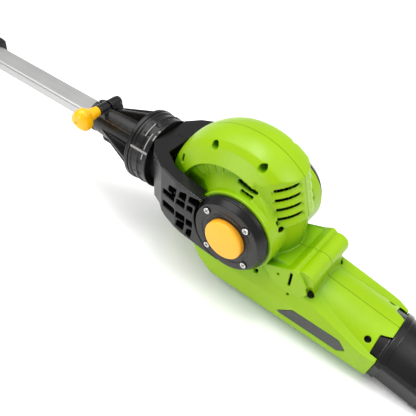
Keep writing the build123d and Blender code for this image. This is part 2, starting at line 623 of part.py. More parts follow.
def blade_outline():
    """Flat double-sided comb: (x, y) points round the blade from its root."""
    x0, x1 = BLADE_X0, BLADE_X0 + BLADE_PITCH * BLADE_TEETH
    top = [(x0, BLADE_HALF)]
    for tooth in range(BLADE_TEETH):
        root = x0 + BLADE_PITCH * (tooth + 0.1)
        top += [(root, BLADE_HALF), (root + 4.5, TOOTH_TIP), (root + 9.5, TOOTH_TIP),
                (root + 14, BLADE_HALF)]
    top.append((x1, BLADE_HALF))
    return top[1:] + [(x, -y) for x, y in reversed(top[1:])]


def drive_frame(x, z0, z1, tail):
    """Rod that pushes a blade, with a window round the crank that gives it clearance."""
    reach = STROKE * 2 + ECCENTRIC_R + 2
    frame = block(x - reach - 4, x + reach + 4, -reach - 4, reach + 4, z0, z1)
    frame -= block(x - reach, x + reach, -reach, reach, z0 - 1, z1 + 1)
    return frame + block(x + reach + 2, tail, -9, 9, z0, z1)


def build_blades():
    upper0 = BLADE_Z + BLADE_GAP / 2
    lower1 = BLADE_Z - BLADE_GAP / 2
    slots = []
    for x in BLADE_BOLTS:
        slots.append(block(x - 12, x + 12, -3.4, 3.4, -120, -60))
    for name, z0 in (("upper", upper0), ("lower", lower1 - BLADE_T)):
        blade = prism_z(blade_outline(), z0, z0 + BLADE_T)
        rod_plate = drive_frame(CRANK_X, z0, z0 + BLADE_T, BLADE_X0 - 4)
        for slot in slots:
            blade -= slot
        blade += block(BLADE_X0 - 4, BLADE_X0 + 4, -14, 14, z0, z0 + BLADE_T)
        save(f"{name}_blade", blade)
        save(f"{name}_drive_rod", rod_plate)
    end = BLADE_X0 + BLADE_PITCH * BLADE_TEETH
    bar = block(232, TIP_X - 16, -10, 10, upper0 + BLADE_T + GAP, upper0 + BLADE_T + 5)
    bolts = []
    for x in BLADE_BOLTS:
        bar -= rod_z(-120, -60, 3.0, x=x)
        shank = rod_z(lower1 - BLADE_T - 4, upper0 + BLADE_T + 8, 3.0, x=x)
        washer = rod_z(lower1 - BLADE_T - 2.2, lower1 - BLADE_T - GAP, 7, x=x)
        nut = prism_z(hexagon(x, 0, 5.2), upper0 + BLADE_T + 5, upper0 + BLADE_T + 8.5)
        bolts.append(shank + washer + nut)
    save("blade_bar", bar)
    save("blade_bolts", group(bolts))
    z_mid = BLADE_Z
    guard = prism_z([(end - 14, -22), (TIP_X - 14, -20), (TIP_X, -10), (TIP_X, 10),
                     (TIP_X - 14, 20), (end - 14, 22)], z_mid - 8, z_mid + 12, 3)
    guard -= block(end - 20, end + 12, -24, 24, z_mid - 4, upper0 + BLADE_T + 1)
    guard -= block(end - 20, TIP_X - 16, -10.1, 10.1, z_mid, upper0 + BLADE_T + 5.1)
    save("tip_guard", guard)


def gear_case_solid(inset):
    """Ribbed nose between the green shells and the blades."""
    body = dome(inset + 1.5, x0=SHELL_END_X + GAP, x1=236)
    body += dome(inset + WALL + GAP, x0=SHELL_END_X - 14, x1=SHELL_END_X + 6)
    front = [(230, -62 - inset), (262, -76 - inset), (270 - inset, -82), (270 - inset, -104 + inset),
             (225, -106 + inset), (225, -62 - inset)]
    half = 37.0 - inset
    plan = [(200, -half), (246, -half), (270 - inset, -22 + inset), (270 - inset, 22 - inset),
            (246, half), (200, half)]
    nose = prism_y(front, -half, half) & prism_z(plan, -130, 0)
    return body + nose


def build_gear_case():
    floor = block(150, 300, -60, 60, -108.0, 0)
    case = (gear_case_solid(0) & floor) - (gear_case_solid(WALL) & block(
        SHELL_END_X - 30, 300, -60, 60, -105.0, 0))
    for rib in range(7):
        y = -30 + 10 * rib
        groove = Plane(origin=(226, y, -30)) * Rot(0, DOME_SLOPE, 0) * Box(44, 4.0, 60)
        skin = dome(-1, x0=198, x1=232) - dome(3.0, x0=190, x1=240)
        case -= groove & skin
    case -= block(SHELL_END_X - 20, 262, -26, 26, -98.5, BLADE_Z + 4)
    case -= block(240, 300, -24, 24, -99.5, BLADE_Z + BLADE_T + 9)
    case -= block(240, 300, -36, 36, BLADE_Z - 4, BLADE_Z + 4)
    save("gear_case", case)
    ring = dome(-0.6, x0=SHELL_END_X + GAP, x1=SHELL_END_X + 8) - dome(1.4, x0=170, x1=200)
    save("case_ring", ring)
    save("skid_plate", block(SHELL_END_X + 9, 264, -24, 24, GROUND, -108.1))


# ---- rear handle --------------------------------------------------------------------------
def handle_body(inset):
    outer = [(-880, 23), (-936, 29), (-1092, 32), (-1132, 28), (-1139, 18), (-1139, -106),
             (-1128, GROUND), (-985, GROUND), (-948, -96), (-922, -44), (-880, -23)]
    inner = [(-974, -12), (-1084, -10), (-1092, -24), (-1090, -84), (-988, -86), (-962, -52)]
    half = HANDLE_HALF - inset
    body = prism_y(shrink(outer, inset), -half, half, 5)
    opening = prism_y(shrink(inner, -inset), -60, 60, 9)
    round_off = prism_x([(-half, -106), (-half + 6, GROUND), (half - 6, GROUND), (half, -106),
                         (half, 24), (half - 9, 33), (-half + 9, 33), (-half, 24)], -1200, -800, 3)
    return (body - opening) & round_off


def shrink(points, inset):
    """The outline pulled in towards its middle by about inset."""
    if not inset:
        return points
    cx = sum(x for x, _ in points) / len(points)
    cz = sum(z for _, z in points) / len(points)
    width = (max(x for x, _ in points) - min(x for x, _ in points)) / 2
    height = (max(z for _, z in points) - min(z for _, z in points)) / 2
    return [(cx + (x - cx) * (1 - inset / width), cz + (z - cz) * (1 - inset / height))
            for x, z in points]


def build_handle():
    body = handle_body(0)
    cavity = handle_body(WALL)
    body -= cavity
    body += rounded_bar(-944, -880.5, 44, 30, 8) & handle_body(0.5)
    body -= rounded_bar(-945, -870, OUTER_W + 0.1, OUTER_H + 0.1, 4.5)
    body -= rounded_bar(-960, -940, OUTER_W - 4, OUTER_H - 4, 4.5)
    body -= block(-1022, -974, -8.4, 8.4, -16, -4)
    body -= block(-968, -946, -7, 7, 20, 40)
    body -= rod_y(-12.1, 12.1, 2 + RUN, x=-980, z=-9)
    for level in range(5):
        z = -44 - 9 * level
        body -= block(-1131, -1099, -60, 60, z - 1.6, z + 1.6)
    wells = [(-900, 17.6), (-900, -18.5), (-1112, 16), (-1010, 22), (-1112, -98), (-1000, -98)]
    for x, z in wells:
        body += rod_y(-HANDLE_HALF + 0.5, HANDLE_HALF - 1, 4.6, x=x, z=z)
        body -= rod_y(-60, -HANDLE_HALF + 9, 3.3, x=x, z=z)
        body -= rod_y(-HANDLE_HALF + 8, HANDLE_HALF - 4, 1.5, x=x, z=z)
    save("rear_shell_left", left_half(body))
    save("rear_shell_right", right_half(body))
    screws = [pan_screw((x, -HANDLE_HALF + 8.8, z), (0, -1, 0), 2.9) for x, z in wells]
    save("handle_screws", group(screws))
    pad = rounded_top_pad()
    save("grip_pad", pad)
    save("control_board", block(-1126, -1102, -12, 12, -36, -33.4))
    switch = block(-1052, -1026, -6, 6, 6, 20) + block(-1030, -1027, -3, 3, 4, 7)
    save("trigger_switch", switch)
    trigger = prism_y([(-977, -5), (-1016, -6), (-1018, -17), (-1008, -25), (-994, -23),
                       (-980, -17)], -7.4, 7.4, 2)
    trigger += rod_y(-7.4, 7.4, 4, x=-980, z=-9)
    save("trigger", trigger - rod_y(-9, 9, 2 + RUN, x=-980, z=-9))
    save("trigger_pin", rod_y(-12, 12, 2, x=-980, z=-9))
    lock = block(-966, -948, -5.5, 5.5, 22, 36) - block(-970, -940, -9, 9, 50, 60)
    lock = fillet(lock.edges().filter_by(Axis.Z), 2.5)
    save("lock_off_button", lock)


def rounded_top_pad():
    """Soft overmould along the top and sides of the grip."""
    outer = block(-1086, -984, -23.2, 23.2, -3, 40) & prism_x(
        [(-23.2, -3), (23.2, -3), (23.2, 22), (12, 34.4), (-12, 34.4), (-23.2, 22)], -1086, -984, 3)
    pad = outer - handle_body(-0.2)
    return pad & block(-1086, -984, -23.2, 23.2, -3, 35)


def build_battery():
    dock = block(DOCK_X - 4, DOCK_X + 1.0, -20, 20, -104, 12)
    dock += both_sides(block(DOCK_X - 9, DOCK_X - 4, 13, 17, -100, 4))
    save("battery_dock", dock)
    pack = prism_x([(-36, -104), (-30, -108), (30, -108), (36, -104), (36, 2), (28, 9), (-28, 9),
                    (-36, 2)], REAR_X + 12, DOCK_X - 4 - GAP, 3)
    back = prism_x([(-32, -100), (-26, -104), (26, -104), (32, -100), (32, -4), (24, 3), (-24, 3),
                    (-32, -4)], REAR_X, REAR_X + 13, 3)
    pack += back
    pack -= block(DOCK_X - 9 - GAP, DOCK_X, -17 - GAP, 17 + GAP, -120, 4 + GAP)
    pack -= block(REAR_X + 24, REAR_X + 44, -12, 12, -2, 20)
    for rib in range(4):
        z = -84 + 20 * rib
        pack -= both_sides(block(REAR_X + 18, DOCK_X - 10, 34.6, 50, z - 2, z + 2))
    save("battery_pack", pack)
    button = block(REAR_X + 24.5, REAR_X + 43.5, -11.5, 11.5, 2.5, 11)
    save("battery_button", fillet(button.edges().filter_by(Axis.Z), 2))


build_head_shells()
save("head_screws", head_screw_group())
build_fork()
build_buttons()
build_lock_collar()
build_poles()
build_pole_socket()
build_telescope_clamp()
build_motor()
build_blades()
build_gear_case()
build_handle()
build_battery()
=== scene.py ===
import json
from math import cos, pi, radians, sin

import bmesh
import bpy
from mathutils import Matrix, Vector


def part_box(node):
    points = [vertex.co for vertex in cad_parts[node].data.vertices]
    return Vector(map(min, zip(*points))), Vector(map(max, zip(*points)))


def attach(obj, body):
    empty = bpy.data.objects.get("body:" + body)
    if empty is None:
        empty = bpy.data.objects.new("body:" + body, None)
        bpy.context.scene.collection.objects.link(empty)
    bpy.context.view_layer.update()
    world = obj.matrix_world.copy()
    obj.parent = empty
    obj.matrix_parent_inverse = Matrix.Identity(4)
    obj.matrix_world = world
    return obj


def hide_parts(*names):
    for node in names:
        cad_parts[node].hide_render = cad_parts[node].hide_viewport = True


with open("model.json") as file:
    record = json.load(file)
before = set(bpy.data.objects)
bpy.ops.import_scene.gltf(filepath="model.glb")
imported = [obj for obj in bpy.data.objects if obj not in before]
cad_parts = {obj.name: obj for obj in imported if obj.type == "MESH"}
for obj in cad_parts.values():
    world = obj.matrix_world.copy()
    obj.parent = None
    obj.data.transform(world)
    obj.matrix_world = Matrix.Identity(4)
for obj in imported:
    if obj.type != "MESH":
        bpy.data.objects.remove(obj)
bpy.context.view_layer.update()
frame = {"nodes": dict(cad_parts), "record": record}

# The frame's origin is under the middle of the tool. Places are given from the centre of the tilt
# hinge instead, since the photo shows the parts round it. It lies midway between the hinge covers.
cover_low, cover_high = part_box("hinge_cover_left")
HINGE = Vector(((cover_low.x + cover_high.x) / 2, 0, (cover_low.z + cover_high.z) / 2))
MM = 0.001
LEFT, RIGHT = 1, -1                             # the sign of Y on each side
SIDES = ((LEFT, "left"), (RIGHT, "right"))


def at(x, y, z):
    """A point given in millimetres from the tilt hinge, in the frame's metres."""
    return HINGE + Vector((x, y, z)) * MM


# ---- camera, floor and light ----------------------------------------------------------------
LENS_MM, SENSOR_MM = 46.6, 36.0
CAMERA_FROM_HINGE = (206.5, -382.7, 404.0)
TARGET_FROM_HINGE = (-70.5, 0.0, -47.6)
ROLL_DEG = 4.65

FLOOR_REACH_M = 60.0
FLOOR_COLOUR, FLOOR_ROUGHNESS = (0.93, 0.93, 0.93, 1), 0.9
WORLD_COLOUR, WORLD_STRENGTH = (1, 1, 1, 1), 0.52
# name, place in mm from the hinge, strength, spread in degrees
SUNS = (("key", (-330, -60, 800), 2.0, 55), ("fill", (450, 300, 900), 0.65, 60))
# name, place and target in mm from the hinge, width and height in m, power in W
SOFTBOXES = (("softbox_side", (-300, -1000, 230), (0, 0, 20), (0.7, 0.3), 4.5),
             ("softbox_top", (-60, 110, 1100), (0, 0, 0), (0.26, 0.5), 5),
             ("softbox_right", (700, 200, 600), (60, 0, 0), (0.35, 0.5), 3.5))


def link(name, data):
    """A new object in the scene that holds the given mesh, light or camera."""
    piece = bpy.data.objects.new(name, data)
    bpy.context.scene.collection.objects.link(piece)
    return piece


def make_camera():
    data = bpy.data.cameras.new("camera")
    data.lens = LENS_MM
    data.sensor_width = SENSOR_MM
    data.clip_start = 0.01
    camera = link("camera", data)
    location = at(*CAMERA_FROM_HINGE)
    look = (at(*TARGET_FROM_HINGE) - location).to_track_quat("-Z", "Y")
    roll = Matrix.Rotation(radians(ROLL_DEG), 4, "Z")
    camera.matrix_world = Matrix.Translation(location) @ look.to_matrix().to_4x4() @ roll
    bpy.context.scene.camera = camera


def aim(light, place, target):
    light.location = at(*place)
    light.rotation_euler = (at(*target) - light.location).to_track_quat("-Z", "Y").to_euler()


def sun_light(name, place, strength, spread_deg):
    """A broad, even light from the side that place lies on."""
    data = bpy.data.lights.new(name, "SUN")
    data.energy = strength
    data.angle = radians(spread_deg)
    aim(link(name, data), place, (0, 0, 0))


def area_light(name, place, target, size, power):
    data = bpy.data.lights.new(name, "AREA")
    data.shape = "RECTANGLE"
    data.size, data.size_y = size
    data.energy = power
    aim(link(name, data), place, target)


def make_floor():
    mesh = bpy.data.meshes.new("floor")
    r = FLOOR_REACH_M
    mesh.from_pydata([(-r, -r, 0), (r, -r, 0), (r, r, 0), (-r, r, 0)], [], [(0, 1, 2, 3)])
    floor = link("floor", mesh)
    material, _, shader = new_material("floor")
    shader.inputs["Base Color"].default_value = FLOOR_COLOUR
    shader.inputs["Roughness"].default_value = FLOOR_ROUGHNESS
    mesh.materials.append(material)


def make_stage():
    make_floor()
    world = bpy.data.worlds.new("studio")
    world.use_nodes = True
    background = world.node_tree.nodes["Background"]
    background.inputs["Color"].default_value = WORLD_COLOUR
    background.inputs["Strength"].default_value = WORLD_STRENGTH
    bpy.context.scene.world = world
    for sun in SUNS:
        sun_light(*sun)
    for softbox in SOFTBOXES:
        area_light(*softbox)
    view = bpy.context.scene.view_settings
    view.view_transform = "Standard"
    view.look = "None"


# ---- materials ------------------------------------------------------------------------------
DARK, BRIGHT = (0, 0, 0), (1, 1, 1)
MIX_FACTOR, MIX_A, MIX_B, MIX_RESULT = 0, 6, 7, 2           # sockets of a Mix node for colours
GRAIN_SCALE = 2200.0                                        # grains to a metre
HOLLOW_REACH_M = 0.03                                       # how far off a wall still shades
SHADED, OPEN = 0.35, 0.95                                   # shares of open air
EDGE_FROM, EDGE_TO = 0.53, 0.62                             # pointiness; 0.5 is a flat face


def new_material(name):
    material = bpy.data.materials.new(name)
    material.use_nodes = True
    tree = material.node_tree
    return material, tree, tree.nodes["Principled BSDF"]


def node(tree, kind, **settings):
    """A new node, with each setting put on its socket, or else on the node itself."""
    item = tree.nodes.new(kind)
    for key, value in settings.items():
        if key in item.inputs:
            item.inputs[key].default_value = value
        else:
            setattr(item, key.lower().replace(" ", "_"), value)
    return item


def object_coords(tree, scale=(1, 1, 1)):
    coords = tree.nodes.new("ShaderNodeTexCoord")
    mapping = tree.nodes.new("ShaderNodeMapping")
    mapping.inputs["Scale"].default_value = scale
    tree.links.new(coords.outputs["Object"], mapping.inputs["Vector"])
    return mapping.outputs["Vector"]


def noise(tree, vector, scale, detail, rough=0.5):
    item = node(tree, "ShaderNodeTexNoise", Scale=scale, Detail=detail, Roughness=rough)
    tree.links.new(vector, item.inputs["Vector"])
    return item.outputs["Fac"]


def ramp(tree, value, low, high, first=0.3, last=0.7):
    """A blend from one colour to another as the value goes from first to last."""
    item = tree.nodes.new("ShaderNodeValToRGB")
    item.color_ramp.elements[0].position = first
    item.color_ramp.elements[1].position = last
    item.color_ramp.elements[0].color = (*low, 1)
    item.color_ramp.elements[1].color = (*high, 1)
    tree.links.new(value, item.inputs["Fac"])
    return item.outputs["Color"]


def spread(tree, value, low, high):
    """A value from 0 to 1 brought between low and high."""
    item = node(tree, "ShaderNodeMapRange")
    item.inputs["To Min"].default_value = low
    item.inputs["To Max"].default_value = high
    tree.links.new(value, item.inputs["Value"])
    return item.outputs["Result"]


def bump(tree, shader, height, distance):
    item = node(tree, "ShaderNodeBump", Strength=1.0, Distance=distance)
    tree.links.new(height, item.inputs["Height"])
    tree.links.new(item.outputs["Normal"], shader.inputs["Normal"])


def colour_mix(tree, factor):
    mix = tree.nodes.new("ShaderNodeMix")
    mix.data_type = "RGBA"
    tree.links.new(factor, mix.inputs[MIX_FACTOR])
    return mix


def painted_shade_in_hollows(tree, base, shade_colour):
    """The base colour, going over to a darker painted shade where other walls are near."""
    shade = node(tree, "ShaderNodeAmbientOcclusion", Distance=HOLLOW_REACH_M)
    shade.samples = 8
    mix = colour_mix(tree, ramp(tree, shade.outputs["AO"], DARK, BRIGHT, SHADED, OPEN))
    mix.inputs[MIX_A].default_value = (*shade_colour, 1)
    tree.links.new(base, mix.inputs[MIX_B])
    return mix.outputs[MIX_RESULT]


def paler_edges_wear_and_highlight(tree, vector, base, colour, wear_and_highlight):
    """The base colour, paler in patches along convex edges: part rubbed wear, part painted edge
    highlight.
    """
    geometry = tree.nodes.new("ShaderNodeNewGeometry")
    edge = ramp(tree, geometry.outputs["Pointiness"], DARK, BRIGHT, EDGE_FROM, EDGE_TO)
    mask = node(tree, "ShaderNodeMath", operation="MULTIPLY")
    tree.links.new(edge, mask.inputs[0])
    tree.links.new(noise(tree, vector, 160.0, 5.0, 0.7), mask.inputs[1])
    amount = node(tree, "ShaderNodeMath", operation="MULTIPLY")
    amount.inputs[1].default_value = wear_and_highlight
    tree.links.new(mask.outputs[0], amount.inputs[0])
    mix = colour_mix(tree, amount.outputs[0])
    mix.inputs[MIX_B].default_value = (*[min(1.0, c * 0.6 + 0.36) for c in colour], 1)
    tree.links.new(base, mix.inputs[MIX_A])
    return mix.outputs[MIX_RESULT]


def moulded(name, colour, roughness, grain=0.00004, wear_and_highlight=0.12, coat=0.0, gloss=0.3, hollow_shade=None):
    """Moulded plastic: fine grain, faint flow shading, edges paler by wear and painted highlight,
    painted shade in hollows.
    """
    material, tree, shader = new_material(name)
    vector = object_coords(tree)
    dark = tuple(c * 0.93 for c in colour)
    light = tuple(min(1.0, c * 1.05) for c in colour)
    base = ramp(tree, noise(tree, vector, 14.0, 4.0), dark, light)
    # Painted shade: the colour turns a darker green where other walls are near.
    if hollow_shade:
        base = painted_shade_in_hollows(tree, base, hollow_shade)
    # Paler convex edges: partly wear, partly a painted edge highlight.
    tree.links.new(paler_edges_wear_and_highlight(tree, vector, base, colour, wear_and_highlight), shader.inputs["Base Color"])
    rubbed = noise(tree, vector, 40.0, 6.0, 0.65)
    tree.links.new(spread(tree, rubbed, roughness - 0.06, roughness + 0.08),
                   shader.inputs["Roughness"])
    bump(tree, shader, noise(tree, vector, GRAIN_SCALE, 2.0), grain)
    shader.inputs["Specular IOR Level"].default_value = gloss
    shader.inputs["Coat Weight"].default_value = coat
    shader.inputs["Coat Roughness"].default_value = 0.2
    return material


def drawn_metal(name, colour, roughness, lines_per_m=(4, 900, 900)):
    """Metal with fine lines along the axis that has the fewest, as drawn, ground or brushed."""
    material, tree, shader = new_material(name)
    lines = noise(tree, object_coords(tree, lines_per_m), 1.0, 6.0, 0.6)
    cloudy = noise(tree, object_coords(tree), 18.0, 4.0)
    base = ramp(tree, lines, tuple(c * 0.9 for c in colour), colour)
    tree.links.new(base, shader.inputs["Base Color"])
    tree.links.new(spread(tree, cloudy, roughness - 0.07, roughness + 0.09),
                   shader.inputs["Roughness"])
    shader.inputs["Metallic"].default_value = 1.0
    bump(tree, shader, lines, 0.00002)
    return material


def soft_rubber(name, colour):
    material, tree, shader = new_material(name)
    vector = object_coords(tree)
    base = ramp(tree, noise(tree, vector, 60.0, 5.0), tuple(c * 0.8 for c in colour), colour)
    tree.links.new(base, shader.inputs["Base Color"])
    tree.links.new(spread(tree, noise(tree, vector, 90.0, 4.0), 0.62, 0.85),
                   shader.inputs["Roughness"])
    bump(tree, shader, noise(tree, vector, 1500.0, 3.0, 0.7), 0.00012)
    return material


# The second green is painted shade, laid on the green plastic where other walls are near.
GREEN, SHADE_GREEN = (0.225, 0.385, 0.0), (0.09, 0.27, 0.0)
BLACK = (0.005, 0.0048, 0.0048)
AMBER, YELLOW = (0.86, 0.38, 0.02), (0.84, 0.41, 0.0)
MATERIALS = {
    "green_plastic": moulded("lime_plastic", GREEN, 0.33, grain=0.00002, wear_and_highlight=0.05,
                             gloss=0.24, hollow_shade=SHADE_GREEN),
    "black_plastic": moulded("black_plastic", BLACK, 0.25, grain=0.00002, wear_and_highlight=0.05),
    "amber_plastic": moulded("amber_plastic", AMBER, 0.30, grain=0.00001),
    "yellow_plastic": moulded("yellow_plastic", YELLOW, 0.30, grain=0.00001, coat=0.2),
    "soft_grip": soft_rubber("soft_grip", (0.010, 0.010, 0.011)),
    "plate_grey": moulded("plate_grey", (0.014, 0.017, 0.015), 0.30, grain=0.00001),
    "pole_aluminium": drawn_metal("pole_aluminium", (0.50, 0.50, 0.495), 0.44),
    "screw_steel": drawn_metal("screw_steel", (0.50, 0.50, 0.49), 0.3, (60, 60, 60)),
    "blade_steel": drawn_metal("blade_steel", (0.40, 0.41, 0.42), 0.34, (900, 6, 900)),
    "machine_steel": drawn_metal("machine_steel", (0.45, 0.45, 0.46), 0.35, (300, 300, 20)),
    "circuit_board": moulded("circuit_board", (0.02, 0.16, 0.06), 0.4),
}
PRINT_GREY = moulded("mark_grey", (0.21, 0.20, 0.195), 0.5, grain=0.00001)


# ---- making and finishing pieces ------------------------------------------------------------
# Edges sharper than this many degrees are drawn hard.
SHELL_SHARP_DEG, COVER_SHARP_DEG, CAD_SHARP_DEG = 55, 50, 32
MOST_FACES, MOST_FACES_OF_PAIR = 90000, 170000
CUTTER_CLEAR = 2                                # mm that a cutter stands out of the face it cuts


def discard(piece):
    mesh = piece.data
    bpy.data.objects.remove(piece)
    bpy.data.meshes.remove(mesh)


def mesh_from(build, name):
    """The mesh of a closed form that has been built, with its faces turned outwards."""
    bmesh.ops.recalc_face_normals(build, faces=build.faces)
    mesh = bpy.data.meshes.new(name)
    build.to_mesh(mesh)
    build.free()
    return mesh


def bake_modifiers(piece):
    """Replaces the piece's mesh by what its modifiers make of it."""
    graph = bpy.context.evaluated_depsgraph_get()
    mesh = bpy.data.meshes.new_from_object(piece.evaluated_get(graph))
    old = piece.data
    piece.modifiers.clear()
    piece.data = mesh
    bpy.data.meshes.remove(old)


def finish_piece(piece, body, slot, shade=True):
    piece.data.materials.clear()
    piece.data.materials.append(MATERIALS[slot])
    if shade:
        piece.data.shade_smooth()
    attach(piece, body)


def body_of(name):
    for body, members in frame["record"]["behaviour"]["bodies"].items():
        if name in members:
            return body


def slot_of(name):
    for row in frame["record"]["subparts"]:
        if row["node"] == name:
            return row["material_slot"]


def joined(name, sources):
    """A new mesh object made of the meshes of CAD nodes."""
    build = bmesh.new()
    for source in sources:
        build.from_mesh(frame["nodes"][source].data)
    mesh = bpy.data.meshes.new(name)
    build.to_mesh(mesh)
    build.free()
    return link(name, mesh)


def soften(piece, voxel, passes, most_faces=MOST_FACES):
    """Rounds every edge of a solid the way a moulding is rounded."""
    remesh = piece.modifiers.new("remesh", "REMESH")
    remesh.mode = "VOXEL"
    remesh.voxel_size = voxel * MM
    smooth = piece.modifiers.new("smooth", "SMOOTH")
    smooth.factor = 0.5
    smooth.iterations = passes
    bake_modifiers(piece)
    faces = len(piece.data.polygons)
    if faces > most_faces:
        thin = piece.modifiers.new("thin", "DECIMATE")
        thin.ratio = most_faces / faces
        bake_modifiers(piece)


def combine(piece, cutter, operation="DIFFERENCE"):
    """A boolean of the piece with a cutter, which goes."""
    tool = piece.modifiers.new("combine", "BOOLEAN")
    tool.operation = operation
    tool.solver = "MANIFOLD"
    tool.object = cutter
    bake_modifiers(piece)
    discard(cutter)


def slab(points, z0, z1):
    """An upright prism from (x, y) points, all in millimetres from the hinge."""
    build = bmesh.new()
    low = [build.verts.new(at(x, y, z0)) for x, y in points]
    high = [build.verts.new(at(x, y, z1)) for x, y in points]
    build.faces.new(list(reversed(low)))
    build.faces.new(high)
    for index in range(len(points)):
        after = (index + 1) % len(points)
        build.faces.new((low[index], low[after], high[after], high[index]))
    return link("cutter", mesh_from(build, "cutter"))


# The seam is the width of the line where two shells meet. The block that parts them reaches past
# the whole tool. All are in millimetres.
SEAM = 0.5
BLOCK_LENGTH, BLOCK_WIDTH, BLOCK_BELOW, BLOCK_ABOVE = 3000, 400, -400, 800


def half_space(side, gap):
    """A big block on one side of the parting plane, clear of it by half of the gap."""
    y0, y1 = sorted((side * gap / 2, side * BLOCK_WIDTH))
    corners = [(-BLOCK_LENGTH, y0), (BLOCK_LENGTH, y0), (BLOCK_LENGTH, y1), (-BLOCK_LENGTH, y1)]
    return slab(corners, BLOCK_BELOW, BLOCK_ABOVE)


def moulded_pair(name, voxel, passes):
    """Two shells softened as one solid, then parted again by a hairline seam."""
    whole = joined(name, (f"{name}_left", f"{name}_right"))
    soften(whole, voxel, passes, MOST_FACES_OF_PAIR)
    for side, word in SIDES:
        piece = link(f"{name}_{word}_moulding", whole.data.copy())
        combine(piece, half_space(side, SEAM), "INTERSECT")
        node_name = f"{name}_{word}"
        finish_piece(piece, body_of(node_name), slot_of(node_name))
        piece.data.set_sharp_from_angle(angle=radians(SHELL_SHARP_DEG))
        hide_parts(node_name)
    discard(whole)


def softened(name, voxel, passes):
    """A copy of a CAD node's mesh with soft moulded edges."""
    piece = joined(f"{name}_moulding", (name,))
    soften(piece, voxel, passes)
    finish_piece(piece, body_of(name), slot_of(name))
    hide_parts(name)


# The voxel size in millimetres and the number of smoothing passes. A finer voxel keeps sharper
# edges.
PAIRS = {"head_shell": (0.75, 4), "fork": (0.7, 4), "rear_shell": (0.9, 4)}
SOFTENED = {
    "lock_collar": (0.5, 3), "pole_socket": (0.5, 3), "strap_hook": (0.4, 3),
    "telescope_clamp": (0.7, 4), "gear_case": (0.8, 4), "case_ring": (0.6, 3),
    "tip_guard": (0.6, 5), "grip_pad": (0.8, 5), "front_grip": (0.9, 4),
    "strap_ring": (0.6, 4), "battery_pack": (0.9, 5), "battery_button": (0.5, 4),
    "trigger": (0.5, 6), "lock_off_button": (0.5, 6),
}
COVER_SOFTNESS, KNOB_SOFTNESS = (0.5, 4), (0.5, 8)


# ---- hinge covers and release buttons -------------------------------------------------------
def turned(name, profile, side, segments=96):
    """A solid turned about the hinge axis, from (radius, distance from the middle) points."""
    build = bmesh.new()
    rings = []
    for radius, y in profile:
        if radius == 0:
            rings.append([build.verts.new(at(0, side * y, 0))])
            continue
        rings.append([build.verts.new(at(radius * cos(2 * pi * k / segments), side * y,
                                         radius * sin(2 * pi * k / segments)))
                      for k in range(segments)])
    for first, second in zip(rings, rings[1:]):
        for k in range(segments):
            after = (k + 1) % segments
            corners = [first[k % len(first)], first[after % len(first)],
                       second[after % len(second)], second[k % len(second)]]
            build.faces.new(list(dict.fromkeys(corners)))
    return link(name, mesh_from(build, name))


# The scale lines on a hinge cover, in millimetres and degrees
LINES, FIRST_LINE_DEG, LINE_STEP_DEG = 9, 96, 9
LINE_FROM, LINE_TO, LINE_HALF_WIDTH = 23.6, 27.0, 0.28
LINE_DEPTH = 0.7
BLOCK_FACES = ((0, 1, 2, 3), (4, 5, 6, 7), (0, 1, 5, 4), (1, 2, 6, 5), (2, 3, 7, 6), (3, 0, 4, 7))


def face_grooves(side):
    """A cutter for the fine scale lines on the face of a hinge cover."""
    _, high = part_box("hinge_cover_left")
    face = high.y / MM
    outline = ((LINE_FROM, -LINE_HALF_WIDTH), (LINE_FROM, LINE_HALF_WIDTH),
               (LINE_TO, LINE_HALF_WIDTH), (LINE_TO, -LINE_HALF_WIDTH))
    build = bmesh.new()
    for line in range(LINES):
        turn = radians(FIRST_LINE_DEG + LINE_STEP_DEG * line)
        along, across = Vector((cos(turn), 0, sin(turn))), Vector((-sin(turn), 0, cos(turn)))
        corners = []
        for y in (face - LINE_DEPTH, face + CUTTER_CLEAR):
            for reach, shift in outline:
                point = along * reach + across * shift
                corners.append(build.verts.new(at(point.x, side * y, point.z)))
        for a, b, c, d in BLOCK_FACES:
            build.faces.new((corners[a], corners[b], corners[c], corners[d]))
    return link("cutter", mesh_from(build, "cutter"))


def hinge_covers():
    """The two hinge covers, softened, with scale lines cut into their faces."""
    for side, word in SIDES:
        node_name = f"hinge_cover_{word}"
        piece = joined(f"{node_name}_moulding", (node_name,))
        soften(piece, *COVER_SOFTNESS)
        combine(piece, face_grooves(side))
        finish_piece(piece, body_of(node_name), slot_of(node_name))
        piece.data.set_sharp_from_angle(angle=radians(COVER_SHARP_DEG))
        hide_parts(node_name)


# A release button, in millimetres: the rise of its face, the rounding of its rim, and how long
# its stem is. The stem has to keep the cap clear of the fork when the button is pressed.
CROWN, SHOULDER, STEM_LENGTH = 0.8, 2.6, 11.9
STEM_SHARE = 0.5                                # of the cap's radius
SHOULDER_STEPS, CROWN_STEPS = 6, 7


def release_buttons():
    """Amber push buttons with a rounded shoulder and a slight crown."""
    for side, word in SIDES:
        node_name = f"release_button_{word}"
        low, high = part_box(node_name)
        radius = (high.x - low.x) / 2 / MM
        inner, outer = sorted((abs(low.y), abs(high.y)))
        inner, outer = inner / MM, outer / MM
        cap_from = inner + STEM_LENGTH
        profile = [(0, inner), (radius * STEM_SHARE, inner), (radius * STEM_SHARE, cap_from),
                   (radius, cap_from)]
        for step in range(SHOULDER_STEPS + 1):
            turn = pi / 2 * step / SHOULDER_STEPS
            profile.append((radius - SHOULDER * (1 - cos(turn)),
                            outer - CROWN - SHOULDER * (1 - sin(turn))))
        for step in range(1, CROWN_STEPS + 1):
            share = 1 - step / CROWN_STEPS
            profile.append(((radius - SHOULDER) * share, outer - CROWN * share ** 2))
        piece = turned(f"{node_name}_cap", profile, side)
        finish_piece(piece, body_of(node_name), slot_of(node_name))
        piece.data.set_sharp_from_angle(angle=radians(COVER_SHARP_DEG))
        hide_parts(node_name)


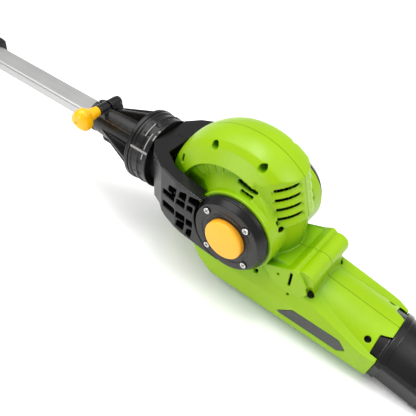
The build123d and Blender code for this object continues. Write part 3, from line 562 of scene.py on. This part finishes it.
# ---- thumb knobs ----------------------------------------------------------------------------
KNOB_ROWS, KNOB_AROUND = 46, 72
HEAD_ROWS_SHARE, HEAD_LENGTH_SHARE = 0.56, 0.62
HEAD_RADIUS, HEAD_ROUNDING = 15.4, 0.40         # mm; a lower rounding is a squarer head
HEAD_BACK_FROM, HEAD_BACK_RADIUS = 0.72, 8.2    # where the head meets the neck
LOBES, LOBE_DEPTH, LOBE_TURN_DEG = 3, 0.10, 75
NECK_RADIUS, NECK_TAPER = 8.0, 1.8
SCREW_HOLE_RADIUS, SCREW_HOLE_DEPTH = 1.8, 4
MERGE_M = 0.00002                               # closes the face, whose first ring is a point


def knob_ring(along):
    """The share of the knob's length, radius in mm and lobe depth, from its face to its neck."""
    if along < HEAD_ROWS_SHARE:
        turn = along / HEAD_ROWS_SHARE
        radius = HEAD_RADIUS * max(0.0, 1 - (2 * turn - 1) ** 2) ** HEAD_ROUNDING
        if turn > HEAD_BACK_FROM:
            radius = max(radius, HEAD_BACK_RADIUS)
        return HEAD_LENGTH_SHARE * turn, radius, LOBE_DEPTH
    share = (along - HEAD_ROWS_SHARE) / (1 - HEAD_ROWS_SHARE)
    return (HEAD_LENGTH_SHARE + (1 - HEAD_LENGTH_SHARE) * share,
            NECK_RADIUS - NECK_TAPER * share, 0.0)


def thumb_knob(node_name):
    """A soft three-lobed knob on a tapered neck, in place of the CAD one."""
    low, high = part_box(node_name)
    centre = (low + high) / 2
    length = high.y - low.y
    build = bmesh.new()
    grid = []
    for row in range(KNOB_ROWS + 1):
        share, radius, lobed = knob_ring(row / KNOB_ROWS)
        ring = []
        for k in range(KNOB_AROUND):
            angle = 2 * pi * k / KNOB_AROUND
            wave = 1 + lobed * cos(LOBES * (angle - radians(LOBE_TURN_DEG)))
            reach = radius * wave * MM / (1 + lobed)
            ring.append(build.verts.new((centre.x + reach * cos(angle), low.y + length * share,
                                         centre.z + reach * sin(angle))))
        grid.append(ring)
    for first, second in zip(grid, grid[1:]):
        for k in range(KNOB_AROUND):
            after = (k + 1) % KNOB_AROUND
            build.faces.new((first[k], first[after], second[after], second[k]))
    bmesh.ops.remove_doubles(build, verts=build.verts, dist=MERGE_M)
    build.faces.new(grid[-1])
    piece = link(f"{node_name}_moulding", mesh_from(build, node_name))
    soften(piece, *KNOB_SOFTNESS)
    face = -low.y / MM
    floor, mouth = face - SCREW_HOLE_DEPTH, face + CUTTER_CLEAR
    hole = turned("hole", [(0, floor), (SCREW_HOLE_RADIUS, floor), (SCREW_HOLE_RADIUS, mouth),
                           (0, mouth)], RIGHT, segments=32)
    hole.data.transform(Matrix.Translation((centre.x - HINGE.x, 0, centre.z - HINGE.z)))
    combine(piece, hole)
    finish_piece(piece, body_of(node_name), slot_of(node_name))
    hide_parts(node_name)


# ---- print on the lock collar ---------------------------------------------------------------
# x from and to in mm from the hinge, angle from and to in degrees from +Y towards +Z, and the
# radius of the surface below in mm
COLLAR_STRIPS = [
    (-160.0, -134.4, 148.4, 151.6, 44.2), (-142.2, -140.4, 152.6, 163, 42.5),
    (-142.2, -140.8, 118, 147.4, 42.5), (-148.0, -146.6, 102, 127, 43.9),
    (-136.4, -134.6, 119, 128, 43.6), (-136.4, -134.4, 109.5, 113.5, 43.6),
]
PRINT_SUNK, PRINT_LIFT = 0.3, 0.15
DEGREES_A_STEP = 2


def print_strip(name, x0, x1, first, last, radius):
    """A thin curved patch round the pole's axis, between two places and two angles."""
    build = bmesh.new()
    steps = max(2, int(abs(last - first) / DEGREES_A_STEP) + 1)
    below, above = radius - PRINT_SUNK, radius + PRINT_LIFT
    rows = []
    for step in range(steps + 1):
        turn = radians(first + (last - first) * step / steps)
        rows.append([build.verts.new(at(x, r * cos(turn), r * sin(turn)))
                     for x, r in ((x0, below), (x0, above), (x1, above), (x1, below))])
    for a_row, b_row in zip(rows, rows[1:]):
        for k in range(4):
            build.faces.new((a_row[k], a_row[(k + 1) % 4], b_row[(k + 1) % 4], b_row[k]))
    build.faces.new(rows[0])
    build.faces.new(list(reversed(rows[-1])))
    piece = link(name, mesh_from(build, name))
    finish_piece(piece, body_of("lock_collar"), "plate_grey", shade=False)
    piece.data.materials[0] = PRINT_GREY


def collar_marks():
    """The signs printed round the collar, as plain strips: one along the pole, five round it."""
    for number, strip in enumerate(COLLAR_STRIPS):
        print_strip(f"collar_mark_{number + 1}", *strip)


def dress_cad_nodes():
    """Gives every CAD node the material of its slot, with soft shading and sharp edges."""
    for name, thing in frame["nodes"].items():
        thing.data.materials.clear()
        thing.data.materials.append(MATERIALS[slot_of(name)])
        thing.data.shade_smooth()
        thing.data.set_sharp_from_angle(angle=radians(CAD_SHARP_DEG))


make_camera()
make_stage()
dress_cad_nodes()
for pair_name, (voxel_mm, smoothing) in PAIRS.items():
    moulded_pair(pair_name, voxel_mm, smoothing)
for node_name, (voxel_mm, smoothing) in SOFTENED.items():
    softened(node_name, voxel_mm, smoothing)
hinge_covers()
release_buttons()
thumb_knob("clamp_knob")
thumb_knob("telescope_knob")
collar_marks()
